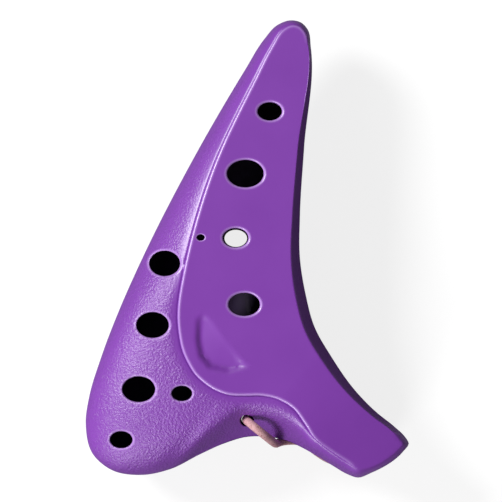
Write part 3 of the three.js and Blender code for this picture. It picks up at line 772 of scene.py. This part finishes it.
face_boundary = side_ring(fine, fine["start"])
front_points, front_faces, front_order = pierced_sheet(
    face_boundary[:, :2], top_height, [*FINGER_HOLES, TUNNEL_MOUTH],
    edge_rows(fine, face_boundary[:, :2]), 0.8, 1, FRONT_PITS)
front_points[front_order, 2] = face_boundary[:, 2]
front_rings = [side_ring(fine, fine["start"] * share) for share in np.linspace(1, 0, 16)[1:]]
seam_lip = front_rings[-1].copy()
seam_lip[:, :2] = stepped_in(seam_lip[:, :2], SEAM_INSET)
front_rings[-1][:, 2] += SEAM_RISE
seam_lip[:, 2] += SEAM_LIP
front_shell = closed_body("front_shell_moulding", (front_points, front_faces), front_order,
                          [*front_rings, seam_lip])

# ---- Back shell ---------------------------------------------------------------------------------
# The lower half of the body, moulded in the same plastic and glued to the front along the parting
# line. Its rounded back has two thumb holes, a small flat that it rests on, and the voicing window.
THUMB_HOLES = [(-3.1, 2.9, 6.1, 4.6, 0.6), (-26.6, -44.4, 8.2, 6.2, 0.65)]
BACK_START = 0.45                          # share of the under curve where the fine triangles start
BACK_SOFTENING = 2.2                       # how far the back's changes of slope are blended, in mm
TUNNEL_FOOT = (*TUNNEL, 4.0, 4.0, 0.5)
BACK_PITS = 15.0                           # height inside the chamber that these holes reach


def soft_back(rings):
    """A reader of the back's height with its changes of slope blended."""
    tree, step = drop_tree(rings), 0.6
    low, high = rings[0][:, :2].min(axis=0) - step, rings[0][:, :2].max(axis=0) + step
    xs, ys = np.arange(low[0], high[0], step), np.arange(low[1], high[1], step)
    grid = np.array([(x, y) for y in ys for x in xs])
    inside = inside_loop(grid, rings[0][:, :2])
    height = np.zeros(len(grid))
    height[inside] = read_heights(tree, grid[inside], BELOW)
    shape, reach = (len(ys), len(xs)), np.arange(-9, 10) * step
    kernel = np.exp(-(reach / BACK_SOFTENING) ** 2 / 2)

    def blurred(values):
        for axis in (0, 1):
            values = np.apply_along_axis(lambda line: np.convolve(line, kernel, "same"), axis, values)
        return values

    soft = blurred((height * inside).reshape(shape)) / np.maximum(blurred(inside.reshape(shape) * 1.0), 1e-6)

    def height_at(p):
        sharp = read_heights(tree, p, BELOW)
        spot = (p - (xs[0], ys[0])) / step
        cell = np.clip(np.floor(spot).astype(int), 0, (shape[1] - 2, shape[0] - 2))
        (i, j), (fx, fy) = cell.T, (spot - cell).T
        value = (soft[j, i] * (1 - fx) * (1 - fy) + soft[j, i + 1] * fx * (1 - fy)
                 + soft[j + 1, i] * (1 - fx) * fy + soft[j + 1, i + 1] * fx * fy)
        share = smooth_step(loop_distance(p, rings[0][:, :2])[0], 0.5, 6.0)
        return np.maximum(0, sharp + (value - sharp) * share)

    return height_at


under_rings = [under_ring(fine, t) for t in np.linspace(BACK_START, 1, 24)]
under_rings += [back_ring(fine, share) for share in np.linspace(0.06, 0.999, 27)]
back_boundary = under_rings[0]
bottom_height = soft_back(under_rings)
back_points, back_faces, back_order = pierced_sheet(
    back_boundary[:, :2], bottom_height, [*THUMB_HOLES, TUNNEL_FOOT], [], 1.0, -1, BACK_PITS)
back_points[back_order, 2] = back_boundary[:, 2]
back_rings = [under_ring(fine, BACK_START * share) for share in np.linspace(1, 0, 16)[1:]]
seam_edge = back_rings[-1].copy()
seam_edge[:, :2] = stepped_in(seam_edge[:, :2], SEAM_INSET)
back_rings[-1][:, 2] -= SEAM_RISE
seam_edge[:, 2] -= SEAM_LIP
back_shell = closed_body("back_shell_moulding", (back_points, back_faces), back_order,
                         [*back_rings, seam_edge])

# ---- Air chamber and windway --------------------------------------------------------------------
# What the two halves enclose: the chamber inside their walls, the pocket for the windway block, the
# channel from the lips, the window with its sounding edge, and the cord's tunnel. All of it is cut
# out of both halves, as the mould's cores leave it.
WINDWAY_WIDTH, WINDWAY_HEIGHT, WINDWAY_FLOOR, WINDWAY_LENGTH = 9.0, 1.4, 16.0, 25.0
WINDOW_LENGTH, LABIUM_THICKNESS, LABIUM_ANGLE, LABIUM_WIDTH = 4.8, 0.6, 25.0, 15.0
BLOCK_WIDTH, BLOCK_TOP, PIECE_GAP = 13.4, 22.5, 0.3
NECK_WALL, POCKET_START = 30.5, 3.0
TUNNEL_BORE, BOSS_DIAMETER = 2.5, 8.6      # the bore narrows to hold the cord below its mouths
TUNNEL_LOW, TUNNEL_HIGH = 14.0, 23.5       # where the narrow bore starts and ends

labium_start = WINDWAY_LENGTH + WINDOW_LENGTH
labium_top = WINDWAY_FLOOR + WINDWAY_HEIGHT / 2 + LABIUM_THICKNESS


def lofted_hollow():
    """The space inside the walls, as a closed mesh."""
    st = body_sections(1.6)
    rings = [back_ring(st, share, SHELL_WALL) for share in (0.97, 0.82, 0.62, 0.42, 0.24, 0.1)]
    rings += [under_ring(st, t, SHELL_WALL) for t in (1, 0.8, 0.6, 0.4, 0.2)]
    rings += [side_ring(st, t, SHELL_WALL) for t in np.linspace(0, 1, 12)]
    inner_edge = stepped_in(st["edge"], SHELL_WALL + 0.4)
    for share in (0, 0.4, 0.8):
        at = drawn_in(inner_edge, share)
        rings.append(level(at, face_height(at) - SHELL_WALL))
    sides = len(rings[0])
    faces = ring_faces(len(rings), sides)
    faces += [tuple(range(sides))[::-1], tuple(range((len(rings) - 1) * sides, len(rings) * sides))]
    return mesh_piece("hollow", np.vstack(rings) * MM, faces, [])


def along_mouthpiece(points):
    """Points drawn along +X from the mouthpiece's end, put where the mouthpiece is."""
    return [(*(MOUTH_END + mouth_axis * x - mouth_side * y), z) for x, y, z in points]


def mouth_block(low, high):
    corners = [(x, y, z) for x in (low[0], high[0]) for y in (low[1], high[1]) for z in (low[2], high[2])]
    faces = [(0, 1, 3, 2), (4, 6, 7, 5), (0, 4, 5, 1), (2, 3, 7, 6), (0, 2, 6, 4), (1, 5, 7, 3)]
    return mesh_piece("block", np.array(along_mouthpiece(corners)) * MM, faces, [])


def pillar(diameter, low, high, sides=48):
    angle = np.arange(sides) * 2 * math.pi / sides
    round_line = TUNNEL + diameter / 2 * np.column_stack((np.cos(angle), np.sin(angle)))
    points = np.vstack((level(round_line, low), level(round_line, high)))
    faces = ring_faces(2, sides) + [tuple(range(sides))[::-1], tuple(range(sides, 2 * sides))]
    return mesh_piece("pillar", points * MM, faces, [])


def sounding_ramp():
    """The wedge of air under the sounding edge, open to the back."""
    length, half = 10.0, WINDWAY_WIDTH / 2
    edge = labium_top - LABIUM_THICKNESS
    fall = length * math.tan(math.radians(LABIUM_ANGLE))
    side = [(labium_start - 0.5, edge), (labium_start - 0.5, -1), (labium_start + length, -1),
            (labium_start + length, edge - fall), (labium_start, edge)]
    points = along_mouthpiece([(x, -half, z) for x, z in side] + [(x, half, z) for x, z in side])
    faces = ring_faces(2, len(side)) + [(4, 3, 2, 1, 0), (5, 6, 7, 8, 9)]
    return mesh_piece("ramp", np.array(points) * MM, faces, [])


def copy_of(piece):
    made = bpy.data.objects.new("copy", piece.data.copy())
    bpy.context.collection.objects.link(made)
    return made


def enclosed_space():
    half_way, half_pocket, half_labium = WINDWAY_WIDTH / 2, BLOCK_WIDTH / 2 + PIECE_GAP, LABIUM_WIDTH / 2
    roof = WINDWAY_FLOOR + WINDWAY_HEIGHT
    hollow = lofted_hollow()
    pocket = boolean(copy_of(hollow), mouth_block(
        (POCKET_START, -half_pocket, roof - PIECE_GAP), (WINDWAY_LENGTH + 2.5, half_pocket, 60)), "INTERSECT")
    space = boolean(hollow, mouth_block((-10, -60, -10), (NECK_WALL, 60, 60)), "DIFFERENCE")
    boolean(space, mouth_block(
        (NECK_WALL - 1, -half_labium, -10), (NECK_WALL + 11, half_labium, labium_top)), "DIFFERENCE")
    boolean(space, pillar(BOSS_DIAMETER, -10, 60), "DIFFERENCE")
    for part in (
            pocket,
            mouth_block((-8, -half_way, WINDWAY_FLOOR), (WINDWAY_LENGTH + 0.5, half_way, roof)),
            mouth_block((WINDWAY_LENGTH, -half_way, -10), (labium_start, half_way, roof)),
            mouth_block((WINDWAY_LENGTH, -half_way, labium_top), (NECK_WALL + 2, half_way, BLOCK_TOP)),
            sounding_ramp(),
            pillar(TUNNEL_BORE, TUNNEL_LOW, TUNNEL_HIGH)):
        boolean(space, part, "UNION")
    return space


def moulded_purple():
    """Satin purple plastic, smooth on the plate and finely grained on the flanks and back, with a painted
    highlight in pale purple on the hole rims and the plate's edge.
    """
    material, wire, shader = finish_named("purple_plastic")
    place = wire.node("ShaderNodeTexCoord", output="Object")
    grained = wire.node("ShaderNodeAttribute", {"attribute_name": "grain"}, output=2)
    cloud = wire.node("ShaderNodeTexNoise", None, {"Vector": place, "Scale": 60.0, "Detail": 3.0})
    speck = wire.node("ShaderNodeTexNoise", None, {"Vector": place, "Scale": 2600.0, "Detail": 2.0})
    peel = wire.node("ShaderNodeTexNoise", None, {"Vector": place, "Scale": 1650.0, "Detail": 2.0,
                                                  "Roughness": 0.55})
    rubbed = wire.node("ShaderNodeAttribute", {"attribute_name": "rubbed"}, output=2)
    base = mixed(wire, cloud, (0.160, 0.024, 0.315, 1), (0.192, 0.032, 0.365, 1))
    base = mixed(wire, speck * grained * 0.16, base, (0.30, 0.12, 0.46, 1))
    # painted highlight: the hole rims and the plate's edge are lightened towards pale purple
    base = mixed(wire, rubbed * 0.7, base, (0.50, 0.30, 0.70, 1))
    skin = wire.node("ShaderNodeBump", None, {
        "Strength": 1.0, "Distance": 0.0003, "Height": peel * grained + speck * 0.05})
    shader.inputs["Specular IOR Level"].default_value = 0.85
    join(shader, Base_Color=base, Normal=skin,
         Roughness=0.36 + grained * 0.03 + cloud * 0.06 - rubbed * 0.06)
    return material


def shaded_inside_purple():
    """The same plastic inside the chamber: duller, and painted nearly black for the shade in there."""
    material, wire, shader = finish_named("purple_inside_painted_shade")
    place = wire.node("ShaderNodeTexCoord", output="Object")
    marks = wire.node("ShaderNodeTexNoise", None, {"Vector": place, "Scale": 300.0, "Detail": 3.0})
    base = mixed(wire, marks, (0.010, 0.002, 0.024, 1), (0.018, 0.004, 0.038, 1))
    skin = wire.node("ShaderNodeBump", None, {"Strength": 0.3, "Distance": 0.0002, "Height": marks})
    join(shader, Base_Color=base, Normal=skin, Roughness=0.6 + marks * 0.2)
    return material


outer_plastic, inside_painted_shade = moulded_purple(), shaded_inside_purple()
INSIDE_SHADE_DEPTH = 1.6                          # how far under the skin the painted shade of the inside starts


def near_hole_rim(p, holes):
    """1 on the rounded rim of a hole, falling to 0 beside it."""
    near = np.zeros(len(p))
    for x, y, width, height, rim in holes:
        radius = np.hypot((p[:, 0] - x) / (width / 2), (p[:, 1] - y) / (height / 2))
        gap = (radius - 1) * (width + height) / 4
        near = np.maximum(near, np.where(gap > -0.05, 1 - smooth_step(gap, 0.1, 1.3 * rim), 0))
    return near


def finished_shell(shell, tree, holes, is_front):
    """Gives a cut half its materials, and marks where the grain is and where a highlight is painted on the
    hole rims and the plate's edge.
    """
    mesh = shell.data
    mesh.materials.clear()
    mesh.materials.append(outer_plastic)
    mesh.materials.append(inside_painted_shade)
    count = len(mesh.vertices)
    place = np.empty(count * 3)
    mesh.vertices.foreach_get("co", place)
    place = place.reshape(-1, 3) / MM
    plan = place[:, :2]
    deep = np.array([tree.find_nearest(Vector(point))[3] for point in place])
    gap, near = loop_distance(plan, fine["edge"])
    plate = inside_loop(plan, plate_loop) if is_front else np.zeros(count, bool)
    creased = fine["groove"][near]
    grain = np.where(plate, 0, smooth_step(gap, 0.3, 3.0)) if is_front else np.ones(count)
    # painted highlight along the plate's rounded edge, joined below with the hole rims
    edge_highlight = np.exp(-((gap - 0.35) / 0.3) ** 2) * creased * plate if is_front else np.zeros(count)
    rubbed = np.maximum(near_hole_rim(plan, holes) * (deep < 1.2), edge_highlight)
    for name, values in (("grain", grain), ("rubbed", rubbed)):
        layer = mesh.attributes.new(name, "FLOAT", "POINT")
        layer.data.foreach_set("value", values)
    # faces deep under the skin get the inside material, whose near-black colour is painted shade
    corners = [deep[list(face.vertices)] for face in mesh.polygons]
    inner = np.array([int(np.min(values) > INSIDE_SHADE_DEPTH) for values in corners], dtype=np.int32)
    mesh.polygons.foreach_set("material_index", inner)
    mesh.shade_smooth()
    mesh.set_sharp_from_angle(angle=math.radians(38))
    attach(shell, "root")


space = enclosed_space()
front_skin = drop_tree([side_ring(fine, t) for t in np.linspace(0, 1, 30)]
                       + [level(drawn_in(fine["edge"], s), face_height(drawn_in(fine["edge"], s)))
                          for s in np.linspace(0.04, 0.995, 16)])
back_skin = drop_tree([under_ring(fine, t) for t in np.linspace(0, 1, 30)]
                      + [back_ring(fine, share) for share in np.linspace(0.06, 0.985, 26)])
boolean(front_shell, copy_of(space), "DIFFERENCE")
boolean(back_shell, space, "DIFFERENCE")
finished_shell(front_shell, front_skin, FINGER_HOLES, True)
finished_shell(back_shell, back_skin, THUMB_HOLES, False)
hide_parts("front_shell")
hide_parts("back_shell")

# ---- Windway block ------------------------------------------------------------------------------
# A separate bar of the same plastic pressed into the mouthpiece. Its underside is the roof of the air
# channel; on the real one it is smooth there and left as moulded elsewhere. Here it gets the inside
# material all over, whose near-black colour is painted shade.
windway_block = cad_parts["windway_block"]
for slot in windway_block.material_slots:
    slot.material = inside_painted_shade

# ---- Table and light ----------------------------------------------------------------------------
# A pale, matt table top. A soft key light stands at the upper left, a weaker window light at the
# lower left, and a faint even light comes from all around.
TABLE_SIZE = 3.0
TABLE_DROP = 0.0002                        # keeps the table top just under what rests on it


def table_finish():
    """Matt white laminate. What the camera sees of it is lifted towards white, as in a light tent."""
    material, wire, shader = finish_named("pale_table")
    shader.inputs["Base Color"].default_value = (0.2, 0.2, 0.2, 1)
    shader.inputs["Roughness"].default_value = 0.9
    shader.inputs["Emission Color"].default_value = (1.0, 1.0, 1.0, 1)
    shader.inputs["Emission Strength"].default_value = 0.82
    plain = wire.node("ShaderNodeBsdfDiffuse", None, {"Color": (0.22, 0.20, 0.24, 1)})
    seen = wire.node("ShaderNodeLightPath", output="Is Camera Ray")
    lifted = Wire(wire.tree, shader.outputs[0])
    both = wire.node("ShaderNodeMixShader", None, {0: seen, 1: plain, 2: lifted})
    wire.tree.links.new(both.socket, wire.tree.nodes["Material Output"].inputs["Surface"])
    return material


half = TABLE_SIZE / 2
table_top = mesh_piece("table", [(-half, -half, 0), (half, -half, 0), (half, half, 0), (-half, half, 0)],
                       [(0, 1, 2, 3)], [table_finish()])
table_top.location.z = -TABLE_DROP


def area_light(name, place, size, power):
    data = bpy.data.lights.new(name, "AREA")
    data.shape, data.size, data.energy = "DISK", size, power
    made = bpy.data.objects.new(name, data)
    bpy.context.collection.objects.link(made)
    made.location = place
    made.rotation_euler = Vector(place).to_track_quat("Z", "Y").to_euler()


area_light("key", (-1.3, 0.72, 1.34), 0.6, 44.0)
area_light("window", (-0.8, -1.3, 0.8), 0.8, 19.0)
world = bpy.data.worlds.new("studio")
world.use_nodes = True
world.node_tree.nodes["Background"].inputs["Color"].default_value = (1, 1, 1, 1)
world.node_tree.nodes["Background"].inputs["Strength"].default_value = 0.2
bpy.context.scene.world = world
bpy.context.scene.view_settings.view_transform = "Standard"
